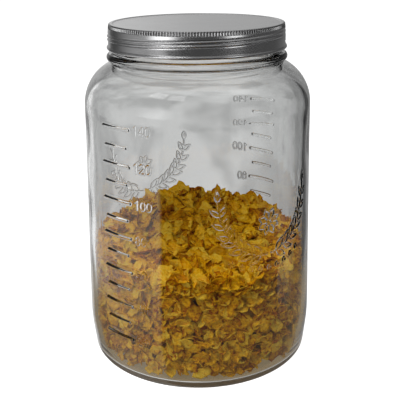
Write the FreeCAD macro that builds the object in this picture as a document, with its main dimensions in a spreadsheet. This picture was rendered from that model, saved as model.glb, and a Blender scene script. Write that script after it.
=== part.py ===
"""Wide-mouth glass storage jar with a one-piece screw lid, part filled with breakfast flakes.

Millimetres, +Z up. The origin is the centre of the foot, where the jar stands.
"""
import FreeCAD
import Part
import Sketcher
import math
import os
import re

# Driving sizes: alias, value and meaning. Every feature reads them from the sheet.
SIZES = [
    ("bodyRadius", 88.9, "outside radius of the body at the top of the heel"),
    ("wall", 4.5, "glass thickness of the side and shoulder"),
    ("sideDraft", 3.4, "radius that the side loses from heel to shoulder"),
    ("heelHeight", 28.0, "height at which the side starts to turn in to the foot"),
    ("heelInset", 3.2, "radius that the heel loses down to the foot's corner"),
    ("heelBlend", 110.0, "rounding between the side and the heel"),
    ("heelRadius", 5.5, "rounding between the heel and the foot"),
    ("standWidth", 12.0, "width of the foot, from its corner to the hollow underside"),
    ("pushUp", 3.0, "rise of the underside at its centre"),
    ("floorHeight", 5.0, "height of the inside floor at the wall"),
    ("floorRise", 1.5, "rise of the inside floor at its centre"),
    ("floorRadius", 14.0, "rounding between the inside floor and the wall"),
    ("shoulderHeight", 220.6, "height of the corner between side and shoulder"),
    ("shoulderWidth", 20.6, "radius that the shoulder loses from the side to the neck"),
    ("shoulderRise", 9.9, "height that the shoulder gains from the side to the neck"),
    ("shoulderRadius", 33.0, "rounding of the shoulder"),
    ("neckFillet", 1.0, "rounding between the shoulder and the neck"),
    ("throatRadius", 4.5, "rounding between the inside of the shoulder and the mouth"),
    ("neckGap", 1.2, "height of the neck below its bead"),
    ("neckWall", 6.3, "glass thickness of the neck"),
    ("beadHeight", 6.0, "height of the bead round the neck"),
    ("beadDepth", 3.2, "width by which the bead stands out from the neck"),
    ("beadFlat", 0.4, "width of the flat band left between the bead's rounded edges"),
    ("finishStep", 1.7, "width by which the finish stands in from the neck"),
    ("finishHeight", 20.7, "height of the finish from the bead to the rim"),
    ("rimFillet", 1.8, "rounding of the rim's edges"),
    ("lidGap", 2.6, "room for the thread between the finish and the lid's skirt"),
    ("lidSeat", 0.3, "gap between the rim and the lid's underside"),
    ("lidSheet", 0.6, "thickness of the lid's metal"),
    ("lidClear", 2.9, "gap between the bead and the lid's lower edge"),
    ("lidEdge", 2.3, "rounding of the lid's top edge"),
    ("grooveDrop", 7.2, "distance of the first rolled groove below the lid's top"),
    ("groovePitch", 2.6, "spacing of the rolled grooves"),
    ("grooveWidth", 2.0, "width of a rolled groove"),
    ("grooveDepth", 0.8, "depth of a rolled groove"),
    ("curlDepth", 1.1, "width by which the curl stands out from the skirt"),
    ("curlHeight", 2.2, "height of the curl at the lid's lower edge"),
    ("curlFlat", 0.2, "width of the flat band left between the curl's rounded edges"),
    ("fillLevel", 92.0, "mean height of the flakes"),
    ("fillRise", 9.0, "height that the flakes gain from the middle to the back wall"),
    ("fillGap", 0.3, "gap between the flakes and the glass"),
    ("lumpHeight", 3.2, "height of the lumps on the flakes' surface"),
    ("lumpPitch", 54.0, "distance from one lump to the next"),
]
# Lengths that more than one piece is tied to, as formulas in the sizes above
SHOULDER = "(bodyRadius - sideDraft)"
NECK = f"({SHOULDER} - shoulderWidth)"
BEAD_TOP = "(shoulderHeight + shoulderRise + neckGap + beadHeight)"
RIM = f"({BEAD_TOP} + finishHeight)"
FOOT = "(bodyRadius - heelInset)"
GROOVES = 2
NODES = ["glass_jar", "lid", "flakes"]


def sizes_sheet(doc):
    """The spreadsheet of driving sizes, one row each."""
    sheet = doc.addObject("Spreadsheet::Sheet", "Sizes")
    for row, (alias, value, meaning) in enumerate(SIZES, start=1):
        sheet.set(f"A{row}", alias)
        sheet.set(f"B{row}", str(value))
        sheet.setAlias(f"B{row}", alias)
        sheet.set(f"C{row}", meaning)
    doc.recompute()
    return sheet


def formula(text):
    """An expression for a property: each alias in the text gets the sheet's name."""
    return re.sub(r"(?!min\b)\b[a-z]\w*", r"Sizes.\g<0>", text)


def value(sheet, text):
    """What a formula in the sheet's aliases comes to."""
    return float(sheet.evalExpression(text))


def turned(doc, sheet, name, corners):
    """A body turned about Z from a closed outline of (radius, height) formulas."""
    body = doc.addObject("PartDesign::Body", name)
    body.Label = name
    sketch = body.newObject("Sketcher::SketchObject", f"{name}_outline")
    plane = next(item for item in body.Origin.OriginFeatures if item.Role == "XZ_Plane")
    sketch.AttachmentSupport = [(plane, "")]
    sketch.MapMode = "FlatFace"

    points = [FreeCAD.Vector(value(sheet, r), value(sheet, z), 0) for r, z in corners]
    count = len(points)
    for i in range(count):
        sketch.addGeometry(Part.LineSegment(points[i], points[(i + 1) % count]))
    for i in range(count):
        sketch.addConstraint(Sketcher.Constraint("Coincident", i, 2, (i + 1) % count, 1))
    for i, (point, corner) in enumerate(zip(points, corners)):
        # -1 and -2 are the sketch's horizontal and vertical axes, -1, 1 its origin
        for kind, axis, distance, text in (("DistanceX", -2, point.x, corner[0]),
                                           ("DistanceY", -1, point.y, corner[1])):
            if text == "0":
                sketch.addConstraint(Sketcher.Constraint("PointOnObject", i, 1, axis))
            else:
                limit = sketch.addConstraint(Sketcher.Constraint(kind, -1, 1, i, 1, distance))
                sketch.setExpression(f"Constraints[{limit}]", formula(text))

    turn = body.newObject("PartDesign::Revolution", f"{name}_turn")
    turn.Profile = sketch
    turn.ReferenceAxis = (sketch, ["V_Axis"])
    turn.Angle = 360
    doc.recompute()
    return body


def rounded(doc, sheet, body, name, radius, corners):
    """Round a body's circular edges at the given (radius, height) corners."""
    base = body.Tip
    names = []
    for r, z in corners:
        near = [f"Edge{number}" for number, edge in enumerate(base.Shape.Edges, start=1)
                if isinstance(edge.Curve, Part.Circle)
                and abs(edge.Curve.Radius - value(sheet, r)) < 1e-4
                and abs(edge.Curve.Center.z - value(sheet, z)) < 1e-4]
        if len(near) != 1:
            raise RuntimeError(f"{body.Label}: {len(near)} edges at {r}, {z}")
        names += near
    fillet = body.newObject("PartDesign::Fillet", f"{body.Name}_{name}")
    fillet.Base = (base, names)
    fillet.setExpression("Radius", formula(radius))
    doc.recompute()


def glass_jar(doc, sheet):
    """Thick foot with a push-up, drafted side, round shoulder, beaded neck and open finish."""
    finish = f"{NECK} - finishStep"
    mouth = f"{NECK} - neckWall"
    bead = f"{NECK} + beadDepth"
    foot = (FOOT, "0")
    heel = ("bodyRadius", "heelHeight")
    shoulder = (SHOULDER, "shoulderHeight")
    neck = (NECK, "shoulderHeight + shoulderRise")
    beadLow = (bead, f"{BEAD_TOP} - beadHeight")
    beadHigh = (bead, BEAD_TOP)
    rimOut = (finish, RIM)
    rimIn = (mouth, RIM)
    throat = (mouth, "shoulderHeight + shoulderRise - wall")
    shoulderIn = (f"{SHOULDER} - wall", "shoulderHeight - wall")
    heelIn = ("bodyRadius - wall", "heelHeight")
    floor = (f"{FOOT} - wall", "floorHeight")
    jar = turned(doc, sheet, "glass_jar", [
        ("0", "pushUp"), (f"{FOOT} - standWidth", "0"), foot, heel, shoulder, neck,
        (NECK, f"{BEAD_TOP} - beadHeight"), beadLow, beadHigh, (finish, BEAD_TOP),
        rimOut, rimIn, throat, shoulderIn, heelIn, floor, ("0", "floorHeight + floorRise")])
    rounded(doc, sheet, jar, "rim", "rimFillet", [rimOut, rimIn])
    rounded(doc, sheet, jar, "bead", "min((beadHeight - beadFlat) / 2; beadDepth - beadFlat / 2)",
            [beadLow, beadHigh])
    rounded(doc, sheet, jar, "neck", "neckFillet", [neck])
    rounded(doc, sheet, jar, "shoulder", "shoulderRadius", [shoulder])
    rounded(doc, sheet, jar, "shoulder_inside", "shoulderRadius - wall", [shoulderIn])
    rounded(doc, sheet, jar, "throat", "throatRadius", [throat])
    rounded(doc, sheet, jar, "heel_blend", "heelBlend", [heel])
    rounded(doc, sheet, jar, "heel_blend_inside", "heelBlend - wall", [heelIn])
    rounded(doc, sheet, jar, "heel", "heelRadius", [foot])
    rounded(doc, sheet, jar, "floor", "floorRadius", [floor])
    return jar


def lid(doc, sheet):
    """Sheet-metal cap: flat top, round edge, rolled grooves in the skirt, curled lower edge."""
    top = f"({RIM} + lidSeat + lidSheet)"
    bottom = f"({BEAD_TOP} + lidClear)"
    inside = f"({NECK} - finishStep + lidGap)"
    outside = f"({inside} + lidSheet)"
    curl = f"{outside} + curlDepth"
    edge = (outside, top)
    edgeIn = (inside, f"{top} - lidSheet")

    def grooves(radius):
        """Corners of the rolled grooves, from the top down, on a skirt of that radius."""
        corners = []
        for i in range(GROOVES):
            middle = f"{top} - grooveDrop - {i} * groovePitch"
            corners += [(radius, f"{middle} + grooveWidth / 2"),
                        (f"{radius} - grooveDepth", middle),
                        (radius, f"{middle} - grooveWidth / 2")]
        return corners

    curlHigh = (curl, f"{bottom} + curlHeight")
    curlLow = (curl, bottom)
    cap = turned(doc, sheet, "lid", [
        ("0", top), edge, *grooves(outside), (outside, f"{bottom} + curlHeight"),
        curlHigh, curlLow, (inside, bottom), *reversed(grooves(inside)), edgeIn,
        ("0", f"{top} - lidSheet")])
    rounded(doc, sheet, cap, "edge", "lidEdge", [edge])
    rounded(doc, sheet, cap, "edge_inside", "lidEdge - lidSheet", [edgeIn])
    rounded(doc, sheet, cap, "curl", "min((curlHeight - curlFlat) / 2; curlDepth - curlFlat / 2)",
            [curlHigh, curlLow])
    return cap


def flakes(doc, sheet):
    """Heap of flakes: it fills the jar's inside up to an uneven surface that rises to the back."""
    inner = "bodyRadius - wall - fillGap"
    ceiling = "fillLevel + fillRise + 3 * lumpHeight"
    slope = "sideDraft / (shoulderHeight - wall - heelHeight)"
    floor = (f"{FOOT} - wall - fillGap", "floorHeight + fillGap")
    heel = (inner, "heelHeight")
    fill = turned(doc, sheet, "jar_inside", [
        ("0", "floorHeight + floorRise + fillGap"), floor, heel,
        (f"{inner} - {slope} * ({ceiling} - heelHeight)", ceiling), ("0", ceiling)])
    rounded(doc, sheet, fill, "heel", "heelBlend - wall - fillGap", [heel])
    rounded(doc, sheet, fill, "floor", "floorRadius - fillGap", [floor])

    half = value(sheet, "bodyRadius")
    level = value(sheet, "fillLevel")
    rise = value(sheet, "fillRise")
    lump = value(sheet, "lumpHeight")
    turns = 2 * math.pi / value(sheet, "lumpPitch")
    steps = 10
    grid = []
    for i in range(steps + 1):
        x = half * (2 * i / steps - 1)
        row = []
        for j in range(steps + 1):
            y = half * (2 * j / steps - 1)
            waves = math.sin(turns * x + 0.6) * math.cos(turns * y) + math.sin(turns * (x + y) / 2)
            row.append(FreeCAD.Vector(x, y, level + rise * y / half + lump * waves / 2))
        grid.append(row)
    surface = Part.BSplineSurface()
    surface.interpolate(grid)
    above = doc.addObject("Part::Feature", "above_flakes")
    above.Shape = surface.toShape().extrude(FreeCAD.Vector(0, 0, 2 * rise + 6 * lump))

    heap = doc.addObject("Part::Cut", "flakes")
    heap.Label = "flakes"
    heap.Base = fill
    heap.Tool = above
    doc.recompute()
    return heap


def main():
    doc = FreeCAD.newDocument("storage_jar")
    sheet = sizes_sheet(doc)
    glass_jar(doc, sheet)
    lid(doc, sheet)
    flakes(doc, sheet)
    doc.recompute()

    for item in doc.Objects:
        if "Invalid" in item.State or "Error" in item.State:
            raise RuntimeError(f"{item.Label} failed: {item.State}")
    os.makedirs("parts", exist_ok=True)
    for node in NODES:
        shape = doc.getObjectsByLabel(node)[0].Shape
        if shape.isNull() or not shape.isValid() or len(shape.Solids) != 1:
            raise RuntimeError(f"{node} isn't one valid solid")
        shape.exportStep(f"parts/{node}.step")
        print(f"{node}: {shape.Volume / 1000:.1f} cm3, {len(shape.Faces)} faces")


main()
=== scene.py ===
import math
import bpy
import numpy as np
from mathutils import Matrix, Vector


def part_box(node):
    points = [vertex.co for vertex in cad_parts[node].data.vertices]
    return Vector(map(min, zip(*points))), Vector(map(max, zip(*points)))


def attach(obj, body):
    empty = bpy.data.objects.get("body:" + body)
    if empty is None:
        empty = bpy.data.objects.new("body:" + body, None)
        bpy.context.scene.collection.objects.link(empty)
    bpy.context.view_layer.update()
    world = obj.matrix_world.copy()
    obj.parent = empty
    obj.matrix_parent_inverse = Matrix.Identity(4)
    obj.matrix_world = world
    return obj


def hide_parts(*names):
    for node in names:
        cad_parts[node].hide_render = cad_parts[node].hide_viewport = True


# Wide-mouth glass storage jar with a rolled metal screw lid, part filled with breakfast flakes
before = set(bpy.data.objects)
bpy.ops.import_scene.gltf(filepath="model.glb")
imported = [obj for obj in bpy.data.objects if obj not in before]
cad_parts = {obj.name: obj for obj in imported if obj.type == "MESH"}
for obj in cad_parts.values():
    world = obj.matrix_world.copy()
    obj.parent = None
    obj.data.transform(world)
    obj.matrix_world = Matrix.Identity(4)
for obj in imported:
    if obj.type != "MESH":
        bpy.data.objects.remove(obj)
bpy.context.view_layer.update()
mm = 0.001
jarLow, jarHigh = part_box("glass_jar")
lidLow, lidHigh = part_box("lid")
bodyRadius = (jarHigh.x - jarLow.x) / 2
print("frame loaded")


# Turned shapes

def roundedOutline(corners, step):
    # (radius, height, rounding) corners to points at most a step apart
    points = [np.array(corners[0][:2])]
    for before, corner, after in zip(corners, corners[1:], corners[2:]):
        tip = np.array(corner[:2])
        toBefore = np.array(before[:2]) - tip
        toAfter = np.array(after[:2]) - tip
        toBefore /= np.linalg.norm(toBefore)
        toAfter /= np.linalg.norm(toAfter)
        turn = math.pi - math.acos(np.clip(toBefore @ toAfter, -1, 1))
        reach = corner[2] * math.tan(turn / 2)
        if reach < 1e-6:
            points.append(tip)
            continue
        middle = toBefore + toAfter
        centre = tip + middle / np.linalg.norm(middle) * corner[2] / math.cos(turn / 2)
        count = max(3, math.ceil(corner[2] * turn / step), math.ceil(turn / 0.2))
        start = tip + toBefore * reach - centre
        side = math.copysign(1, start[0] * toBefore[1] - start[1] * toBefore[0])
        for i in range(count + 1):
            a = -side * turn * i / count
            points.append(centre + np.array([start[0] * math.cos(a) - start[1] * math.sin(a),
                                             start[0] * math.sin(a) + start[1] * math.cos(a)]))
    points.append(np.array(corners[-1][:2]))
    filled = [points[0]]
    for a, b in zip(points, points[1:]):
        pieces = max(1, math.ceil(np.linalg.norm(b - a) / step))
        filled += [a + (b - a) * i / pieces for i in range(1, pieces + 1)]
    return np.array(filled)


def turnedMesh(name, outline, columns, split=1, fine=None, push=None):
    # Turns an outline about Z. Cells marked in fine are split into split x split smaller ones, and
    # their neighbours take up the extra points on the shared edges. Bearing 0 faces the front.
    rows = len(outline) - 1
    if fine is None:
        fine = np.zeros((columns, rows), bool)
    keys, faces = {}, []

    def point(i, j):
        key = (0 if j in (0, rows * split) else i % (columns * split), j)
        return keys.setdefault(key, len(keys))

    def edge(i, j, di, dj, divided):
        marks = range(split) if divided else (0,)
        return [point(i + di * m, j + dj * m) for m in marks]

    def isFine(c, k):
        return 0 <= k < rows and fine[c % columns, k]

    for c in range(columns):
        for k in range(rows):
            i, j = c * split, k * split
            if fine[c, k]:
                faces += [(point(i + u, j + v), point(i + u + 1, j + v),
                           point(i + u + 1, j + v + 1), point(i + u, j + v + 1))
                          for u in range(split) for v in range(split)]
                continue
            loop = (edge(i, j, 1, 0, isFine(c, k - 1))
                    + edge(i + split, j, 0, 1, isFine(c + 1, k))
                    + edge(i + split, j + split, -1, 0, isFine(c, k + 1))
                    + edge(i, j + split, 0, -1, isFine(c - 1, k)))
            loop = [p for n, p in enumerate(loop) if p != loop[n - 1]]
            faces.append(loop)
    faces = [f for f in faces if len(set(f)) > 2]

    marks = np.array(list(keys), float)
    bearing = marks[:, 0] * 2 * math.pi / (columns * split)
    along = marks[:, 1] / split
    whole = np.arange(rows + 1)
    r = np.interp(along, whole, outline[:, 0])
    z = np.interp(along, whole, outline[:, 1])
    if push is not None:
        slope = np.gradient(outline, axis=0)
        length = np.hypot(slope[:, 0], slope[:, 1])
        out = push(bearing, r, z, along)
        r = r + out * np.interp(along, whole, slope[:, 1] / length)
        z = z - out * np.interp(along, whole, slope[:, 0] / length)
    places = np.stack([r * np.sin(bearing), -r * np.cos(bearing), z], 1)
    mesh = bpy.data.meshes.new(name)
    mesh.from_pydata(places.tolist(), [], faces)
    mesh.shade_smooth()
    return mesh


def addPiece(name, mesh, material, slot, *nodes):
    piece = bpy.data.objects.new(name, mesh)
    bpy.context.scene.collection.objects.link(piece)
    mesh.materials.append(material)
    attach(piece, "root")
    if nodes:
        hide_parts(*nodes)


def newMaterial(name):
    material = bpy.data.materials.new(name)
    material.use_nodes = True
    nodes = material.node_tree.nodes
    return material, nodes, material.node_tree.links, nodes["Principled BSDF"]


def mathsFor(nodes, links):
    # Gives a function that adds Math nodes to one material; its values are numbers or sockets
    def maths(operation, *values):
        node = nodes.new("ShaderNodeMath")
        node.operation = operation
        for socket, value in zip(node.inputs, values):
            if isinstance(value, (int, float)):
                socket.default_value = value
            else:
                links.new(value, socket)
        return node.outputs[0]
    return maths


def rangeNode(nodes, links, value, low, high, toLow, toHigh):
    node = nodes.new("ShaderNodeMapRange")
    node.interpolation_type = "SMOOTHSTEP"
    for socket, number in zip(("From Min", "From Max", "To Min", "To Max"), (low, high, toLow, toHigh)):
        node.inputs[socket].default_value = number
    links.new(value, node.inputs["Value"])
    return node.outputs["Result"]


def rampNode(nodes, links, value, stops):
    node = nodes.new("ShaderNodeValToRGB")
    elements = node.color_ramp.elements
    elements[0].position, elements[1].position = stops[0][0], stops[-1][0]
    for position, colour in stops[1:-1]:
        elements.new(position)
    for element, (position, colour) in zip(elements, stops):
        element.color = (*([colour] * 3 if isinstance(colour, (int, float)) else colour), 1)
    links.new(value, node.inputs["Fac"])
    return node.outputs["Color"]


def noiseNode(nodes, links, vector, size, detail):
    node = nodes.new("ShaderNodeTexNoise")
    node.inputs["Scale"].default_value = 1 / size
    node.inputs["Detail"].default_value = detail
    links.new(vector, node.inputs["Vector"])
    return node.outputs["Fac"]


def mixShaders(nodes, links, factor, a, b):
    node = nodes.new("ShaderNodeMixShader")
    links.new(factor, node.inputs["Fac"])
    links.new(a, node.inputs[1])
    links.new(b, node.inputs[2])
    return node.outputs["Shader"]


# Glass jar

glass = {
    "wall": 4.5 * mm, "sideDraft": 3.4 * mm, "heelHeight": 28 * mm, "heelInset": 3.2 * mm,
    "heelBlend": 110 * mm, "heelRounding": 5.5 * mm, "standWidth": 12 * mm, "standRounding": 4 * mm,
    "pushUp": 3 * mm,
    "floorHeight": 3.6 * mm, "floorRise": 1.5 * mm, "floorRounding": 6 * mm,
    "shoulderHeight": 220.6 * mm, "shoulderWidth": 20.6 * mm, "shoulderRise": 9.9 * mm,
    "shoulderRounding": 33 * mm, "neckGap": 1.2 * mm, "neckWall": 6.3 * mm, "neckRounding": 1 * mm,
    "throatRounding": 4.5 * mm, "beadHeight": 6 * mm, "beadDepth": 3.2 * mm,
    "beadRounding": 3 * mm, "beadRoot": 0.4 * mm, "beadCrown": 1 * mm,
    "finishStep": 1.7 * mm, "rimRounding": 1.8 * mm,
    "threadTop": 4.5 * mm, "threadReach": 1.7 * mm, "threadDepth": 1.6 * mm, "threadPitch": 8 * mm,
    "threadTurns": 1.25, "threadLead": 1 / 12,  # in turns
    "ripple": 0.13 * mm, "rippleOutside": 0.6, "rippleInside": -1.6,
    "rippleZone": [(15 * mm, 0), (45 * mm, 1), (212 * mm, 1), (232 * mm, 0)],
    "columns": 288, "step": 2 * mm, "split": 5, "markMargin": 1.6 * mm,  # finer faces round each mark
    "ior": 1.5, "stipple": 0.55, "colour": (0.965, 0.972, 0.968), "shadow": (0.93, 0.94, 0.935),
}
g = glass
shoulderRadius = bodyRadius - g["sideDraft"]
neckRadius = shoulderRadius - g["shoulderWidth"]
footRadius = bodyRadius - g["heelInset"]
beadLow = g["shoulderHeight"] + g["shoulderRise"] + g["neckGap"]
beadHigh = beadLow + g["beadHeight"]
rimHeight = jarHigh.z
mouthRadius = neckRadius - g["neckWall"]
finishRadius = neckRadius - g["finishStep"]
outerCorners = [
    (0, g["pushUp"], 0), (footRadius - g["standWidth"], 0, g["standRounding"]),
    (footRadius, 0, g["heelRounding"]), (bodyRadius, g["heelHeight"], g["heelBlend"]),
    (shoulderRadius, g["shoulderHeight"], g["shoulderRounding"]),
    (neckRadius, g["shoulderHeight"] + g["shoulderRise"], g["neckRounding"]),
    (neckRadius, beadLow, g["beadRoot"]),
    (neckRadius + g["beadDepth"], beadLow, g["beadRounding"]),
    (neckRadius + g["beadDepth"], beadHigh, g["beadRounding"]), (finishRadius, beadHigh, g["beadCrown"]),
    (finishRadius, rimHeight, g["rimRounding"]), (mouthRadius, rimHeight, 0),
]
innerCorners = [
    (finishRadius, rimHeight, 0), (mouthRadius, rimHeight, g["rimRounding"]),
    (mouthRadius, g["shoulderHeight"] + g["shoulderRise"] - g["wall"], g["throatRounding"]),
    (shoulderRadius - g["wall"], g["shoulderHeight"] - g["wall"], g["shoulderRounding"] - g["wall"]),
    (bodyRadius - g["wall"], g["heelHeight"], g["heelBlend"] - g["wall"]),
    (footRadius - g["wall"], g["floorHeight"], g["floorRounding"]),
    (0, g["floorHeight"] + g["floorRise"], 0),
]
outerOutline = roundedOutline(outerCorners, g["step"])[:-1]  # from the foot's middle to the rim
innerOutline = roundedOutline(innerCorners, 2 * g["step"])[1:]  # from the rim to the floor's middle


def insideRadius(z):
    # Radius of the jar's inside at a height, from its floor to its shoulder
    wall = innerOutline[::-1]
    wall = wall[wall[:, 1] < g["shoulderHeight"] - g["shoulderRounding"]]
    return np.interp(z, wall[:, 1], wall[:, 0])


# Raised marks in the glass: a scale of plain numbers and a sprig ornament, on the front and the back

scale = {
    "lowest": 35.8 * mm, "pitch": 26.37 * mm, "marks": 7, "unit": 20,
    "leftBearing": -50.3, "rightBearing": -33.5, "shortInset": 1.7,  # degrees round the body
    "barWidth": 3.2 * mm, "shortBarWidth": 2.56 * mm, "barHeight": 1.5 * mm,
    "digitHeight": 6.8 * mm, "digitPitch": 5.0 * mm, "digitBearing": -31.0,
    "digitWidth": 1.4 * mm, "digitRelief": 0.75 * mm,
}
ornament = {
    "bearing": 35.0, "height": 127 * mm, "width": 1.7 * mm, "relief": 0.7 * mm,
    "rosette": 9.5 * mm, "petals": 8, "heart": 0.16, "petalRoot": 0.24,  # shares of the rosette
    "stemReach": 41 * mm, "stemRise": 24 * mm, "stemPoints": 24,
    "leaves": 8, "leafLength": 11.5 * mm, "leafWidth": 4.6 * mm, "leafAngle": 0.7, "tipShrink": 0.35,
    "dots": 9, "dotRadius": 1.5 * mm, "dotSpread": 0.75, "dotDrop": 1.45, "dotBow": 0.3,
}


def arc(cx, cy, rx, ry, start, end, count=14):
    turns = np.radians(np.linspace(start, end, count))
    return np.stack([cx + rx * np.cos(turns), cy + ry * np.sin(turns)], 1)


digitLines = {  # in a box 0.6 wide and 1 high
    "0": [arc(0.3, 0.5, 0.27, 0.47, 0, 360, 22)],
    "1": [np.array([(0.12, 0.78), (0.34, 0.97), (0.34, 0.03)])],
    "2": [np.concatenate([arc(0.3, 0.69, 0.26, 0.28, 170, -35), [(0.04, 0.03), (0.58, 0.03)]])],
    "4": [np.array([(0.44, 0.03), (0.44, 0.97), (0.02, 0.32), (0.6, 0.32)])],
    "6": [arc(0.3, 0.3, 0.26, 0.27, 0, 360, 18), arc(0.52, 0.34, 0.48, 0.62, 105, 184)],
    "8": [arc(0.3, 0.73, 0.21, 0.23, 0, 360, 18), arc(0.3, 0.27, 0.26, 0.25, 0, 360, 18)],
}


def numberLines(text, left, middle, height, pitch):
    return [line * [height, height] + [left + n * pitch, middle - height / 2]
            for n, digit in enumerate(text) for line in digitLines[digit]]


def scaleMarks():
    # Each mark is (points, width, height), points as (arc length round the body, height)
    s = scale
    left, right = [math.radians(s[key]) * bodyRadius for key in ("leftBearing", "rightBearing")]
    inset = math.radians(s["shortInset"]) * bodyRadius
    digits = math.radians(s["digitBearing"]) * bodyRadius
    marks = []
    for n in range(s["marks"]):
        z = s["lowest"] + n * s["pitch"]
        marks.append((np.array([(left, z), (right, z)]), s["barWidth"], s["barHeight"]))
        if n:
            between = z - s["pitch"] / 2
            marks.append((np.array([(left + inset, between), (right - inset, between)]),
                          s["shortBarWidth"], s["barHeight"]))
        for line in numberLines(str(s["unit"] * (n + 1)), digits, z, s["digitHeight"], s["digitPitch"]):
            marks.append((line, s["digitWidth"], s["digitRelief"]))
    return marks


def leafLine(root, angle, length, width):
    t = np.linspace(0, 1, 9)
    bulge = width / 2 * np.sin(math.pi * t ** 0.8)
    upper = np.stack([t * length, bulge], 1)
    lower = np.stack([t * length, -bulge], 1)[::-1]
    loop = np.concatenate([upper, lower])
    turn = np.array([[math.cos(angle), -math.sin(angle)], [math.sin(angle), math.cos(angle)]])
    return loop @ turn.T + root


def ornamentMarks():
    o = ornament
    lines = []
    size = o["rosette"]
    for n in range(o["petals"]):
        angle = (2 * n + 1) * math.pi / o["petals"]
        root = np.array([math.cos(angle), math.sin(angle)]) * o["petalRoot"] * size
        lines.append(leafLine(root, angle, (1 - o["petalRoot"]) * size, size / 2))
    lines.append(arc(0, 0, o["heart"] * size, o["heart"] * size, 0, 360))
    for side in (-1, 1):
        t = np.linspace(0, 1, o["stemPoints"])
        stem = np.stack([side * o["stemReach"] * (0.04 + 0.96 * np.sin(t * math.pi / 2)),
                         -o["stemRise"] + 2 * o["stemRise"] * t ** 1.9], 1)
        lines.append(stem)
        for n in range(o["leaves"]):
            i = round(2 + n * (o["stemPoints"] - 4) / (o["leaves"] - 1))
            run = stem[min(i + 1, o["stemPoints"] - 1)] - stem[i - 1]
            heading = math.atan2(run[1], run[0])
            shrink = 1 - o["tipShrink"] * n / o["leaves"]
            last = n == o["leaves"] - 1  # a single leaf ends the stem
            for lean in (0,) if last else (o["leafAngle"], -o["leafAngle"]):
                lines.append(leafLine(stem[i], heading + lean, o["leafLength"] * shrink,
                                      o["leafWidth"] * shrink))
    for n in range(o["dots"]):
        across = n / (o["dots"] - 1) * 2 - 1
        lines.append(arc(across * o["dotSpread"] * o["stemReach"],
                         (o["dotBow"] * across ** 2 - o["dotDrop"]) * o["stemRise"],
                         o["dotRadius"], o["dotRadius"], 0, 360, 10))
    centre = [math.radians(o["bearing"]) * bodyRadius, o["height"]]
    return [(line + centre, o["width"], o["relief"]) for line in lines]


raisedMarks = scaleMarks() + ornamentMarks()


def relief(bearing, z, margin=0.0):
    # Height of the raised marks, each widened by the margin
    half = math.pi * bodyRadius
    run = (bearing * bodyRadius + half / 2) % half - half / 2  # front and back carry the same marks
    height = np.zeros(len(z))
    for line, width, top in raisedMarks:
        reach = width / 2 + margin
        near = np.flatnonzero((run > line[:, 0].min() - reach) & (run < line[:, 0].max() + reach)
                              & (z > line[:, 1].min() - reach) & (z < line[:, 1].max() + reach))
        if not len(near):
            continue
        spot = np.stack([run[near], z[near]], 1)
        gap = np.full(len(near), 1.0)
        for a, b in zip(line, line[1:]):
            step = b - a
            share = np.clip((spot - a) @ step / max(step @ step, 1e-12), 0, 1)
            gap = np.minimum(gap, np.linalg.norm(spot - a - share[:, None] * step, axis=1))
        ridge = np.clip((reach - gap) / (reach * 0.7), 0, 1)  # soft flanks with a narrow flat crown
        height[near] = np.maximum(height[near], top * ridge * ridge * (3 - 2 * ridge))
    return height


def glassWaves(bearing, z):
    # Gentle unevenness of pressed glass
    rng = np.random.default_rng(3)
    waves = np.zeros(len(z))
    for lobes, length in ((2, 190), (3, 120), (5, 70), (7, 95), (11, 48)):  # round the jar, and mm up it
        a, b = rng.uniform(0, 2 * math.pi, 2)
        waves += np.sin(lobes * bearing + a) * np.sin(2 * math.pi * z / (length * mm) + b) / lobes ** 0.5
    return waves


def glassMaterial(name, roughness):
    material, nodes, links, shader = newMaterial(name)
    shader.inputs["Base Color"].default_value = (*g["colour"], 1)
    shader.inputs["Transmission Weight"].default_value = 1
    shader.inputs["Roughness"].default_value = roughness
    shader.inputs["IOR"].default_value = g["ior"]
    clear = nodes.new("ShaderNodeBsdfTransparent")  # lets the lamps reach the flakes
    clear.inputs["Color"].default_value = (*g["shadow"], 1)
    shadowRay = nodes.new("ShaderNodeLightPath").outputs["Is Shadow Ray"]
    mix = mixShaders(nodes, links, shadowRay, shader.outputs["BSDF"], clear.outputs["BSDF"])
    links.new(mix, nodes["Material Output"].inputs["Surface"])
    return material


def makeGlassJar():
    outline = np.concatenate([outerOutline, innerOutline])
    side = len(outerOutline)
    columns, rows = g["columns"], len(outline) - 1
    middleBearing = (np.arange(columns) + 0.5) * 2 * math.pi / columns
    middleHeight = (outline[:-1, 1] + outline[1:, 1]) / 2
    b, z = [a.ravel() for a in np.meshgrid(middleBearing, middleHeight, indexing="ij")]
    fine = (relief(b, z, g["markMargin"]) > 0).reshape(columns, rows)
    fine[:, side - 1:] = False

    def push(bearing, r, z, along):
        outside = along < side - 0.5
        body = np.interp(z, *zip(*g["rippleZone"]))
        out = np.where(outside, relief(bearing, z), 0)
        ripple = g["ripple"] * np.where(outside, g["rippleOutside"], g["rippleInside"])
        out = out + body * ripple * glassWaves(bearing, z)
        onFinish = outside & (z > beadHigh + 1.5 * mm) & (r > mouthRadius + 3 * mm)
        for lap in (0, 1):
            turn = lap + bearing / (2 * math.pi)
            centre = rimHeight - g["threadTop"] - turn * g["threadPitch"]
            fromEnd = np.minimum(turn, g["threadTurns"] - turn)
            thread = np.clip(1 - np.abs(z - centre) / g["threadReach"], 0, 1)
            lead = np.clip(fromEnd / g["threadLead"], 0, 1)
            out = out + onFinish * lead * g["threadDepth"] * thread ** 0.7
        return out

    mesh = turnedMesh("glass_jar_body", outline, columns, g["split"], fine, push)
    addPiece("glass_body", mesh, glassMaterial("jar_glass", 0), "glass", "glass_jar")
    mesh.materials.append(glassMaterial("stippled_glass", g["stipple"]))
    for face in mesh.polygons:
        standing = face.center.z < g["pushUp"] / 2
        under = face.center.z < g["pushUp"] + 0.1 * mm and face.normal.z < -0.9
        face.material_index = int(standing or under)


makeGlassJar()
print("glass made")


# Rolled metal lid

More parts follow.
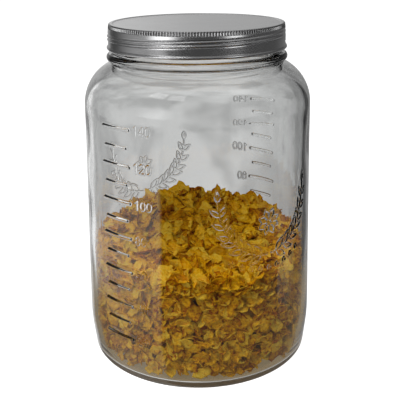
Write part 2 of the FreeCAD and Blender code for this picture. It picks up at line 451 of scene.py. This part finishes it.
lidSizes = {
    "sheet": 0.6 * mm, "lean": 0.7 * mm, "leanDrop": 6.4 * mm, "leanRounding": 3 * mm,
    "edgeRounding": 1.3 * mm, "panelInset": 3.4 * mm, "panelDrop": 0.5 * mm, "panelRounding": 0.8 * mm,
    "curlDepth": 1.1 * mm, "curlHeight": 2.2 * mm, "curlRounding": 1 * mm, "curlRoot": 0.3 * mm,
    "teeth": 200, "knurlHeight": 3.4 * mm, "knurlFade": 0.7 * mm, "knurlDepth": 0.80 * mm, "dentShade": 0.75,
    "grooveDrop": 8.5 * mm, "groovePitch": 2.6 * mm, "grooveDepth": 1.25 * mm, "grooveWidth": 0.80 * mm,
    "grooveFall": 8 * mm, "grooveLead": 0.4, "grooveEnd": 2.1 * math.pi,  # lead and end in radians
    "step": 0.45 * mm, "split": 6, "panelStep": 6,  # the flat panel needs only every sixth ring
    "colour": (0.60, 0.60, 0.605), "roughness": 0.235,
}
curlRadius = (lidHigh.x - lidLow.x) / 2
skirtRadius = curlRadius - lidSizes["curlDepth"]


def knurlShade(nodes, links, place):
    # How much painted shade the base colour gets in the dents between the knurl's teeth
    m = lidSizes
    maths = mathsFor(nodes, links)
    split = nodes.new("ShaderNodeSeparateXYZ")
    links.new(place, split.inputs["Vector"])
    x, y, z = split.outputs
    bearing = maths("ARCTAN2", x, maths("MULTIPLY", y, -1))
    wave = maths("COSINE", maths("MULTIPLY", bearing, m["teeth"]))
    dent = maths("MULTIPLY_ADD", wave, -0.5, 0.5)
    low = lidHigh.z - m["knurlHeight"]
    band = rangeNode(nodes, links, z, low - 0.2 * mm, low + 0.5 * mm, 0, m["dentShade"])
    edge = skirtRadius - m["lean"]
    radius = maths("SQRT", maths("ADD", maths("POWER", x, 2), maths("POWER", y, 2)))
    rim = rangeNode(nodes, links, radius, edge - 1.2 * mm, edge - 0.6 * mm, 0, 1)
    return maths("MULTIPLY", maths("MULTIPLY", dent, band), rim)


def lidMaterial():
    m = lidSizes
    material, nodes, links, shader = newMaterial("lid_metal")
    maths = mathsFor(nodes, links)
    shader.inputs["Metallic"].default_value = 1
    place = nodes.new("ShaderNodeTexCoord").outputs["Object"]
    grain = noiseNode(nodes, links, place, 16 * mm, 2)
    shades = [(0.3, [c * 0.96 for c in m["colour"]]), (0.7, [c * 1.04 for c in m["colour"]])]
    shaded = nodes.new("ShaderNodeVectorMath")
    shaded.operation = "SCALE"
    links.new(rampNode(nodes, links, grain, shades), shaded.inputs["Vector"])
    # painted shade: the base colour is darkened in the knurl's dents
    links.new(maths("SUBTRACT", 1, knurlShade(nodes, links, place)), shaded.inputs["Scale"])
    links.new(shaded.outputs["Vector"], shader.inputs["Base Color"])
    links.new(rangeNode(nodes, links, grain, 0.3, 0.7, m["roughness"] - 0.02, m["roughness"] + 0.03),
              shader.inputs["Roughness"])
    return material


def makeLid():
    m = lidSizes
    top, bottom = lidHigh.z, lidLow.z
    inside = skirtRadius - m["sheet"]
    panel, curlTop, leanLow = top - m["panelDrop"], bottom + m["curlHeight"], top - m["leanDrop"]
    corners = [
        (0, panel - m["sheet"], 0), (inside - m["lean"], panel - m["sheet"], m["sheet"]),
        (inside, leanLow, m["leanRounding"]), (inside, bottom, 0.1 * mm),
        (curlRadius, bottom, m["curlRounding"]), (curlRadius, curlTop, m["curlRounding"]),
        (skirtRadius, curlTop, m["curlRoot"]), (skirtRadius, leanLow, m["leanRounding"]),
        (skirtRadius - m["lean"], top, m["edgeRounding"]),
        (skirtRadius - m["panelInset"], top, m["panelRounding"]),
        (skirtRadius - m["panelInset"] - m["panelRounding"], panel, m["panelRounding"]), (0, panel, 0),
    ]
    outline = roundedOutline(corners, m["step"])
    flat = outline[:, 0] < inside - 6 * mm
    outline = np.array([p for n, p in enumerate(outline)
                        if not flat[n] or n % m["panelStep"] == 0 or n == len(outline) - 1])
    rows = len(outline) - 1
    firstOuter = rows * 0.4  # rows after this one are on the outer face
    middle = (outline[:-1] + outline[1:]) / 2
    atEdge = (middle[:, 0] > inside) & (middle[:, 1] > top - m["knurlHeight"] - 0.6 * mm)
    knurled = atEdge & (np.arange(rows) > firstOuter)
    fine = np.repeat(knurled[None], m["teeth"], 0)

    def push(bearing, r, z, along):
        drop = top - z
        fade = np.clip((m["knurlHeight"] - drop) / m["knurlFade"], 0, 1) * (along > firstOuter)
        out = -m["knurlDepth"] * fade * (0.5 - 0.5 * np.cos(bearing * m["teeth"]))
        onSkirt = (drop > m["knurlHeight"]) & (z > curlTop + m["curlRoot"]) & (r > inside - 1 * mm)
        turned = (bearing + math.pi * 1.5) % (2 * math.pi)  # from the right side round by the back
        for lap in (1, 2):
            travel = 2 * math.pi * lap - turned
            centre = m["grooveDrop"] + m["grooveFall"] * (travel / (2 * math.pi) - 0.25)
            lead = np.clip(np.minimum(travel, m["grooveEnd"] - travel) / m["grooveLead"], 0, 1)
            for side in (-0.5, 0.5):
                gap = (drop - centre - side * m["groovePitch"]) / m["grooveWidth"]
                out = out - onSkirt * lead * m["grooveDepth"] * np.exp(-gap * gap)
        return out

    mesh = turnedMesh("lid_shell", outline, m["teeth"], m["split"], fine, push)
    addPiece("lid_shell", mesh, lidMaterial(), "lid_metal", "lid")


makeLid()
print("lid made")


# Flakes

flakeSizes = {
    "thickness": 0.10, "kinds": 36, "blisters": 9, "press": 0.3 * mm,  # thickness as a share of the radius
    "level": 92 * mm, "rise": 9 * mm, "lump": 2.6 * mm, "lumpLengths": (13 * mm, 15 * mm, 21 * mm),
    "peak": 5 * mm, "peakPlace": (-26 * mm, 52 * mm), "peakSize": 17 * mm,
    "low": {"count": 1300, "radius": 5.2 * mm, "spokes": 12, "rings": 3, "depth": 12 * mm, "loose": 0.62},
    "side": {"count": 880, "radius": 7.3 * mm, "spokes": 14, "rings": 4, "depth": 13 * mm, "loose": 0.5},
    "top": {"count": 880, "radius": 7.4 * mm, "spokes": 14, "rings": 4, "depth": 11 * mm, "loose": 0.5},
    "sideLow": 46 * mm, "overlap": 4 * mm,  # the low flakes reach a little over the lowest of the side ones
    "blotch": 4.5 * mm, "crinkle": 1.9 * mm, "grain": 0.6 * mm, "bump": 1.3 * mm,
    "dark": (0.34, 0.085, 0.002), "gold": (0.82, 0.405, 0.002), "pale": (0.93, 0.63, 0.065),
}
# The core's dark colour is painted shade: it stands in for the shaded depths of the heap between the flakes
core = {
    "inset": 11 * mm, "clearance": 1.5 * mm, "taper": 6 * mm, "taperHeight": 40 * mm, "fitFrom": 45 * mm,
    "lowRounding": 12 * mm, "midRounding": 30 * mm, "topRounding": 5 * mm,
    "lump": 1.3 * mm, "columns": 120, "step": 4 * mm, "colour": (0.10, 0.030, 0.001),
}
goldenShare = (math.sqrt(5) - 1) / 2  # of a turn from one flake to the next, so that they spread evenly


def heapHeight(x, y):
    # Uneven top of the heap: it rises to the back, with a peak at the back left
    f = flakeSizes
    across, back, aslant = f["lumpLengths"]
    waves = (np.sin(x / across + 0.6) * np.cos(y / back) + np.sin((x + y) / aslant)) / 2
    peakX, peakY = f["peakPlace"]
    peak = np.exp(-((x - peakX) ** 2 + (y - peakY) ** 2) / f["peakSize"] ** 2)
    return f["level"] + f["rise"] * y / bodyRadius + f["lump"] * waves + f["peak"] * peak


def flakeShape(rng, spokes, rings):
    # One thin, curled, blistered plate about one unit in radius, and how near each point is to its rim
    f = flakeSizes
    turn = np.arange(spokes) * 2 * math.pi / spokes
    rim = 1 + sum(rng.normal(0, size) * np.sin(lobes * turn + rng.uniform(0, 7))
                  for lobes, size in ((2, 0.16), (3, 0.13), (4, 0.10), (5, 0.08), (6, 0.06)))
    rim = np.clip(rim + rng.normal(0, 0.05, spokes), 0.55, 1.45)
    share = (np.arange(1, rings + 1) / rings)[:, None] ** 0.9
    x = np.append(0, (share * rim * np.cos(turn)).ravel())
    y = np.append(0, (share * rim * np.sin(turn)).ravel()) * rng.uniform(0.7, 1.0)
    near = np.append(0, np.repeat(share[:, 0], spokes))
    lift = rng.uniform(-0.12, 0.16) * (x * x - y * y) + rng.uniform(-0.05, 0.2) * (x * x + y * y)
    for _ in range(f["blisters"]):
        a, b = rng.uniform(-0.9, 0.9, 2)
        size = rng.uniform(0.18, 0.38)
        lift = lift + rng.uniform(-0.11, 0.17) * np.exp(-((x - a) ** 2 + (y - b) ** 2) / size ** 2)
    lift = lift + rng.normal(0, 0.02, len(x))
    thick = f["thickness"] * (1 - 0.45 * near ** 2) * rng.uniform(0.8, 1.3)
    bend = rng.uniform(1.1, 4.0)
    sides = []
    for offset in (thick / 2, -thick / 2):
        z = lift + offset
        sides.append(np.stack([(bend - z) * np.sin(x / bend), y, bend - (bend - z) * np.cos(x / bend)], 1))
    verts = np.concatenate(sides)
    verts -= verts.mean(0)
    return verts, np.tile(near, 2)


def flakeFaces(spokes, rings):
    faces = []
    for i in range(spokes):
        j = (i + 1) % spokes
        faces.append((0, 1 + i, 1 + j))
        for ring in range(rings - 1):
            a, b = 1 + ring * spokes, 1 + (ring + 1) * spokes
            faces += [(a + i, b + i, b + j), (a + i, b + j, a + j)]
    faces = np.array(faces)
    side = 1 + rings * spokes
    under = faces[:, ::-1] + side
    rim = 1 + (rings - 1) * spokes
    edge = [tri for i in range(spokes) for j in [(i + 1) % spokes]
            for tri in ((rim + i, rim + i + side, rim + j + side), (rim + i, rim + j + side, rim + j))]
    return np.concatenate([faces, under, np.array(edge)])


def facing(normal, spin):
    # Rotations that turn Z to the normals, after a spin about Z
    helper = np.where(np.abs(normal[:, 2:]) < 0.9, [[0, 0, 1.0]], [[1.0, 0, 0]])
    u = np.cross(helper, normal)
    u /= np.linalg.norm(u, axis=1, keepdims=True)
    v = np.cross(normal, u)
    c, s = np.cos(spin)[:, None], np.sin(spin)[:, None]
    return np.stack([u * c + v * s, v * c - u * s, normal], 2)


def joinFlakes(kind, places, normals, rng, material):
    f, k = flakeSizes, flakeSizes[kind]
    name = "flakes_" + kind
    shapes = [flakeShape(rng, k["spokes"], k["rings"]) for _ in range(f["kinds"])]
    faces = flakeFaces(k["spokes"], k["rings"])
    count = len(places)
    pick = rng.integers(0, f["kinds"], count)
    size = k["radius"] * rng.uniform(0.68, 1.32, count)
    turnTo = facing(normals, rng.uniform(0, 2 * math.pi, count))
    flat = np.array([shape[0] for shape in shapes])[pick] * size[:, None, None]
    verts = np.einsum("nij,nvj->nvi", turnTo, flat) + places[:, None]
    # any flake that would cut the glass slides in or up, and is just pressed to it so no air shows
    r = np.hypot(verts[..., 0], verts[..., 1])
    over = (r - insideRadius(verts[..., 2]) - f["press"]).max(1)
    inward = -places[:, :2] / np.maximum(np.hypot(places[:, 0], places[:, 1]), 1e-6)[:, None]
    verts[..., :2] += (inward * np.maximum(over, 0)[:, None])[:, None]
    floor = g["floorHeight"] - f["press"]
    verts[..., 2] += np.maximum(floor - verts[..., 2].min(1), 0)[:, None]
    tone = np.repeat(rng.uniform(0, 1, count), flat.shape[1])
    near = np.array([shape[1] for shape in shapes])[pick].ravel()
    allFaces = (faces[None] + (np.arange(count) * flat.shape[1])[:, None, None]).reshape(-1, 3)
    mesh = bpy.data.meshes.new(name)
    mesh.from_pydata(verts.reshape(-1, 3).tolist(), [], allFaces.tolist())
    mesh.shade_smooth()
    for label, values in (("flakeTone", tone), ("flakeEdge", near)):
        mesh.attributes.new(label, "FLOAT", "POINT").data.foreach_set("value", values.astype(np.float32))
    addPiece(name, mesh, material, "flakes")
    print(name, count, "flakes", len(allFaces), "faces")


def flakeMaterial():
    # Golden, toasted brown in blotches and blisters, with a fine crumbly grain
    f = flakeSizes
    material, nodes, links, shader = newMaterial("toasted_flake")
    maths = mathsFor(nodes, links)

    def attribute(label):
        node = nodes.new("ShaderNodeAttribute")
        node.attribute_name = label
        return node.outputs["Fac"]

    place = nodes.new("ShaderNodeTexCoord").outputs["Object"]
    blotch = noiseNode(nodes, links, place, f["blotch"], 3)
    crinkle = noiseNode(nodes, links, place, f["crinkle"], 4)
    grain = noiseNode(nodes, links, place, f["grain"], 2)
    edge = maths("MULTIPLY", maths("POWER", attribute("flakeEdge"), 4), -0.10)  # edges are toasted darker
    mixed = maths("ADD", maths("MULTIPLY", attribute("flakeTone"), 0.36),
                  maths("MULTIPLY", blotch, 0.45))
    mixed = maths("ADD", maths("ADD", mixed, edge),
                  maths("ADD", maths("MULTIPLY", crinkle, 0.55), maths("MULTIPLY", grain, 0.2)))
    shades = [(0.50, f["dark"]), (0.72, f["gold"]), (1.0, f["pale"])]
    links.new(rampNode(nodes, links, mixed, shades), shader.inputs["Base Color"])
    shader.inputs["Roughness"].default_value = 0.7
    shader.inputs["Specular IOR Level"].default_value = 0.02
    bump = nodes.new("ShaderNodeBump")
    bump.inputs["Strength"].default_value = 0.9
    bump.inputs["Distance"].default_value = f["bump"]
    links.new(maths("ADD", crinkle, maths("MULTIPLY", grain, 0.35)), bump.inputs["Height"])
    links.new(bump.outputs["Normal"], shader.inputs["Normal"])
    return material


def coreShadeMaterial():
    # painted shade: a dark brown body in place of the shaded gaps deep in the heap
    material, nodes, links, shader = newMaterial("flake_shade")
    noise = noiseNode(nodes, links, nodes.new("ShaderNodeTexCoord").outputs["Object"], 5 * mm, 3)
    shades = [(0.3, [c * 0.5 for c in core["colour"]]), (0.7, [c * 2 for c in core["colour"]])]
    links.new(rampNode(nodes, links, noise, shades), shader.inputs["Base Color"])
    shader.inputs["Roughness"].default_value = 0.9
    shader.inputs["Specular IOR Level"].default_value = 0.05
    return material


def makeShadeCore():
    # Lumpy body under the flakes, some way inside the heap's outer face; its dark colour is painted shade for
    # the gaps deep in the heap
    c = core
    low = g["floorHeight"] + g["floorRise"] + c["clearance"]
    high = flakeSizes["level"] - c["inset"]
    radius = float(insideRadius(50 * mm)) - c["inset"]
    corners = [(0, low, 0), (radius - c["taper"], low, c["lowRounding"]),
               (radius, c["taperHeight"], c["midRounding"]), (radius, high, c["topRounding"]), (0, high, 0)]
    outline = roundedOutline(corners, c["step"])

    def push(bearing, r, z, along):
        return c["lump"] * np.sin(19 * bearing + z / (5 * mm)) * np.sin(z / (3.4 * mm) + 7 * bearing)

    mesh = turnedMesh("flake_shade_core", outline, c["columns"], push=push)
    for v in mesh.vertices:  # its top follows the heap's
        share = min(max((v.co.z - c["fitFrom"]) / (high - c["fitFrom"]), 0), 1)
        v.co.z += (heapHeight(v.co.x, v.co.y) - c["inset"] - high) * share
    addPiece("flake_shade_core", mesh, coreShadeMaterial(), "flakes", "flakes")


def flakesAtWall(kind, low, highAt, rng):
    # Places and facings for flakes against the glass, from a height up to the one that highAt gives
    k = flakeSizes[kind]
    count = k["count"]
    bearing = (np.arange(count) * goldenShare * 2 * math.pi + rng.normal(0, 0.05, count)) % (2 * math.pi)
    share = (np.arange(count) + rng.uniform(0, 1, count)) / count
    outward = np.stack([np.sin(bearing), -np.cos(bearing), 0 * bearing], 1)
    z = low + share * (highAt(*(outward[:, :2] * bodyRadius * 0.93).T) - low)
    inside = rng.uniform(0, 1, count) ** 1.5
    r = insideRadius(z) - k["depth"] * inside
    loose = k["loose"] * (0.35 + np.clip(4 * inside, 0, 1))[:, None]  # those at the glass lie flat on it
    normals = rng.normal(0, 1, (count, 3)) * loose + outward + [0, 0, 0.5] * (inside[:, None] > 0.1)
    normals /= np.linalg.norm(normals, axis=1, keepdims=True)
    return outward * r[:, None] + [0, 0, 1] * z[:, None], normals


def flakesOnTop(rng):
    # Places and facings for the flakes that make the top of the heap
    k = flakeSizes["top"]
    count = k["count"]
    r = (bodyRadius - g["wall"] - 2 * mm) * np.sqrt((np.arange(count) + 0.5) / count)
    bearing = np.arange(count) * goldenShare * 2 * math.pi
    x, y = r * np.sin(bearing), -r * np.cos(bearing)
    z = heapHeight(x, y) - k["depth"] * rng.uniform(0, 1, count) ** 1.2
    normals = rng.normal(0, 1, (count, 3)) * k["loose"] + [0, -0.25, 0.9]
    normals /= np.linalg.norm(normals, axis=1, keepdims=True)
    return np.stack([x, y, z], 1), normals


def makeFlakes():
    f = flakeSizes
    rng = np.random.default_rng(29)
    makeShadeCore()
    material = flakeMaterial()
    floor = g["floorHeight"] + 1 * mm
    places, normals = flakesAtWall("low", floor, lambda x, y: f["sideLow"] + f["overlap"], rng)
    joinFlakes("low", places, normals, rng, material)
    places, normals = flakesAtWall("side", f["sideLow"], lambda x, y: heapHeight(x, y) - 1 * mm, rng)
    joinFlakes("side", places, normals, rng, material)
    places, normals = flakesOnTop(rng)
    joinFlakes("top", places, normals, rng, material)


makeFlakes()
print("flakes made")


# Floor, world, lamps and camera

studio = {
    "cameraPlace": (0, -0.5656, 0.3190), "pitch": 16.51, "roll": -0.58, "lens": 67.43,
    "shift": (0.005, -0.10), "floorColour": 0.8, "floorGlow": 0.72, "floorReach": 30,
    # brightness of the room by bearing in degrees: seen through the jar, 0 behind it and 90 to the
    # right, then mirrored by it, 0 in front of it and 90 to the right
    "through": [(-180, 0.55), (-95, 0.55), (-90, 1.0), (-30, 1.0), (-27, 0.33), (-18, 0.37), (-5, 0.55),
                (4, 0.61), (8, 0.42), (16, 0.27), (29, 0.25), (31, 0.0), (60, 0.0), (75, 0.55), (180, 0.55)],
    "mirrored": [(-180, 0.50), (-168, 0.90), (-152, 0.90), (-142, 0.12), (-122, 0.14), (-100, 0.60),
                 (-85, 0.80), (-40, 0.80), (-38, 0.02), (55, 0.01), (80, 0.09), (120, 0.20), (180, 0.50)],
    # windows that the jar and the lid mirror, by bearing and by height, from 0 level to 1 overhead
    "window": [(-64, 0), (-52, 1), (-34, 1), (-22, 0), (34, 0), (42, 0.8), (54, 0.8), (64, 0)],
    "windowRise": [(0.0, 0.7), (0.06, 1), (0.32, 1), (0.46, 0)], "windowGlow": 2.4,
    "skylight": [(-66, 0), (-64, 1), (-44, 1), (-42, 0.2), (-39, 0.2), (-37, 1), (-18, 1), (-16, 0)],
    "skylightRise": [(0.70, 0), (0.72, 1), (0.84, 1), (0.86, 0)], "skylightGlow": 3.6,
    "cloud": (0.80, 1.18), "cloudSize": 0.11,
    "dimming": -0.5, "dimmingAbove": 1.75, "sideReach": 0.80,  # far off, the sides of the room are dimmer
    "farFront": 0.085, "ceiling": 0.36, "tableRadius": 0.25, "tableGlow": 0.20,
    "nearRadius": 0.13, "nearGlow": (0.25, 0.19, 0.11),  # the floor beside the jar, through its foot
    "fill": (0.54, 0.28), "fillFloor": 0.55,  # light on the flakes from the left, the right and below
    "fillLight": 0.45,  # light on everything else
}
lamps = {
    "key_softbox": {"place": (-0.50, -0.62, 0.80), "target": (0, 0, 0.10), "size": (0.5, 0.5), "glow": 3.8},
    "top_softbox": {"place": (0.05, -0.20, 1.10), "target": (0, 0, 0.10), "size": (0.7, 0.5), "glow": 5.2},
}


def roomAlong(nodes, links, way):
    # How bright the room looks along a direction, for each of the ways in which it is seen
    s = studio
    maths = mathsFor(nodes, links)
    split = nodes.new("ShaderNodeSeparateXYZ")
    links.new(way, split.inputs["Vector"])
    x, y, z = split.outputs

    def byTurn(turn, stops):
        share = maths("MULTIPLY_ADD", turn, 1 / (2 * math.pi), 0.5)
        return rampNode(nodes, links, share, [(0.5 + degrees / 360, glow) for degrees, glow in stops])

    def opening(turnStops, riseStops, glow):
        share = maths("MULTIPLY", byTurn(forwards, turnStops), rampNode(nodes, links, z, riseStops))
        return maths("MULTIPLY", share, glow)

    forwards = maths("ARCTAN2", x, maths("MULTIPLY", y, -1))
    mirrored = byTurn(forwards, s["mirrored"])
    windows = maths("ADD", opening(s["window"], s["windowRise"], s["windowGlow"]),
                    opening(s["skylight"], s["skylightRise"], s["skylightGlow"]))
    clouds = rangeNode(nodes, links, noiseNode(nodes, links, way, s["cloudSize"], 3), 0.40, 0.60, *s["cloud"])
    through = maths("MULTIPLY", byTurn(maths("ARCTAN2", x, y), s["through"]), clouds)
    # light that the inside of the wall turns back to the front comes from the mirrored room
    bounces = nodes.new("ShaderNodeLightPath").outputs["Glossy Depth"]
    turnedBack = maths("MULTIPLY", maths("LESS_THAN", y, 0), maths("GREATER_THAN", bounces, 0.5))
    through = maths("MULTIPLY_ADD", turnedBack, maths("SUBTRACT", mirrored, through), through)
    aside = rangeNode(nodes, links, maths("ABSOLUTE", x), 0.1, 0.3, 0, s["dimming"])
    aside = maths("MULTIPLY", aside, rangeNode(nodes, links, z, 0.1, 0.35, 1, s["dimmingAbove"]))
    return {"mirrored": mirrored, "through": through, "aside": aside, "windows": windows,
            "fill": rangeNode(nodes, links, x, -1, 1, *s["fill"]),
            "above": rangeNode(nodes, links, z, 0.35, 0.9, s["farFront"], s["ceiling"])}


def glowNode(nodes, links, kind, glow):
    # Background or emission shader; glow is a number, a colour or a socket
    node = nodes.new(kind)
    node.inputs["Color"].default_value = (*glow, 1) if isinstance(glow, tuple) else (1, 1, 1, 1)
    if isinstance(glow, (int, float)):
        node.inputs["Strength"].default_value = glow
    elif not isinstance(glow, tuple):
        links.new(glow, node.inputs["Strength"])
    return node.outputs[0]


def makeWorld():
    s = studio
    world = bpy.data.worlds.new("studio")
    bpy.context.scene.world = world
    world.use_nodes = True
    nodes, links = world.node_tree.nodes, world.node_tree.links
    nodes.clear()
    maths = mathsFor(nodes, links)
    path = nodes.new("ShaderNodeLightPath").outputs
    room = roomAlong(nodes, links, nodes.new("ShaderNodeTexCoord").outputs["Generated"])

    def glow(strength):
        return glowNode(nodes, links, "ShaderNodeBackground", strength)

    mirrored = maths("MULTIPLY_ADD", room["mirrored"], room["aside"], room["mirrored"])
    mirrored = maths("MAXIMUM", maths("ADD", mirrored, room["windows"]), room["above"])
    fromFlakes = maths("GREATER_THAN", path["Diffuse Depth"], 0.5)
    inGlass = mixShaders(nodes, links, fromFlakes, glow(room["through"]), glow(room["fill"]))
    seen = mixShaders(nodes, links, path["Is Glossy Ray"], glow(s["fillLight"]), glow(mirrored))
    seen = mixShaders(nodes, links, path["Is Transmission Ray"], seen, inGlass)
    seen = mixShaders(nodes, links, path["Is Camera Ray"], seen, glow(1.0))
    output = nodes.new("ShaderNodeOutputWorld")
    links.new(seen, output.inputs["Surface"])


def makeFloor():
    s = studio
    material, nodes, links, shader = newMaterial("pale_floor")
    nodes.remove(shader)
    maths = mathsFor(nodes, links)
    path = nodes.new("ShaderNodeLightPath").outputs
    paint = nodes.new("ShaderNodeBsdfDiffuse")
    paint.inputs["Color"].default_value = (*[s["floorColour"]] * 3, 1)
    onward = nodes.new("ShaderNodeVectorMath")
    onward.operation = "SCALE"
    onward.inputs["Scale"].default_value = -1
    links.new(nodes.new("ShaderNodeNewGeometry").outputs["Incoming"], onward.inputs[0])
    room = roomAlong(nodes, links, onward.outputs[0])
    distance = nodes.new("ShaderNodeVectorMath")
    distance.operation = "LENGTH"
    links.new(nodes.new("ShaderNodeTexCoord").outputs["Object"], distance.inputs[0])
    distance = distance.outputs["Value"]

    def glow(strength):
        return glowNode(nodes, links, "ShaderNodeEmission", strength)

    far = rangeNode(nodes, links, distance, s["sideReach"] * 0.9, s["sideReach"] * 1.1, 0, 1)
    dimmed = maths("MULTIPLY_ADD", room["aside"], far, 1)
    tableEdge = (s["tableRadius"] * 0.8, s["tableRadius"] * 1.2)
    table = rangeNode(nodes, links, distance, *tableEdge, s["tableGlow"], 0)
    table = maths("MULTIPLY_ADD", far, s["farFront"], table)
    mirrored = maths("MAXIMUM", maths("MULTIPLY", room["mirrored"], dimmed), table)
    beside = rangeNode(nodes, links, distance, s["nearRadius"], s["nearRadius"] * 2, 0, 1)
    fromFlakes = maths("GREATER_THAN", path["Diffuse Depth"], 0.5)
    inGlass = mixShaders(nodes, links, beside, glow(s["nearGlow"]), glow(room["through"]))
    inGlass = mixShaders(nodes, links, fromFlakes, inGlass, glow(s["fillFloor"]))
    seen = mixShaders(nodes, links, path["Is Glossy Ray"], paint.outputs["BSDF"], glow(mirrored))
    seen = mixShaders(nodes, links, path["Is Transmission Ray"], seen, inGlass)
    lit = nodes.new("ShaderNodeAddShader")
    links.new(paint.outputs["BSDF"], lit.inputs[0])
    links.new(glow(s["floorGlow"]), lit.inputs[1])
    seen = mixShaders(nodes, links, path["Is Camera Ray"], seen, lit.outputs["Shader"])
    links.new(seen, nodes["Material Output"].inputs["Surface"])
    mesh = bpy.data.meshes.new("floor")
    reach = s["floorReach"]
    corners = [(-reach, -reach, 0), (reach, -reach, 0), (reach, reach, 0), (-reach, reach, 0)]
    mesh.from_pydata(corners, [], [(0, 1, 2, 3)])
    mesh.materials.append(material)
    floor = bpy.data.objects.new("floor", mesh)
    bpy.context.scene.collection.objects.link(floor)
    floor.location.z = jarLow.z


def addSoftbox(name, place, target, size, glow):
    # A flat rectangular lamp turned to face a point. The jar and lid mirror the room, not the lamps
    lamp = bpy.data.lights.new(name, "AREA")
    lamp.shape = "RECTANGLE"
    lamp.size, lamp.size_y = size
    lamp.energy = 4 * glow * size[0] * size[1]  # glow is near the radiance of its face
    item = bpy.data.objects.new(name, lamp)
    bpy.context.scene.collection.objects.link(item)
    item.location = place
    item.rotation_euler = (Vector(target) - Vector(place)).to_track_quat("-Z", "Y").to_euler()
    item.visible_camera = item.visible_transmission = item.visible_glossy = False


def makeCamera():
    s = studio
    lens = bpy.data.cameras.new("camera")
    lens.lens = s["lens"]
    lens.shift_x, lens.shift_y = s["shift"]
    lens.clip_start, lens.clip_end = 0.01, 100
    camera = bpy.data.objects.new("camera", lens)
    bpy.context.scene.collection.objects.link(camera)
    tilt = Matrix.Rotation(math.radians(90 - s["pitch"]), 4, "X")
    roll = Matrix.Rotation(math.radians(s["roll"]), 4, "Z")
    camera.matrix_world = Matrix.Translation(s["cameraPlace"]) @ tilt @ roll
    bpy.context.scene.camera = camera


makeWorld()
makeFloor()
for name, lamp in lamps.items():
    addSoftbox(name, **lamp)
makeCamera()
bpy.context.scene.view_settings.view_transform = "Standard"
print("studio made")
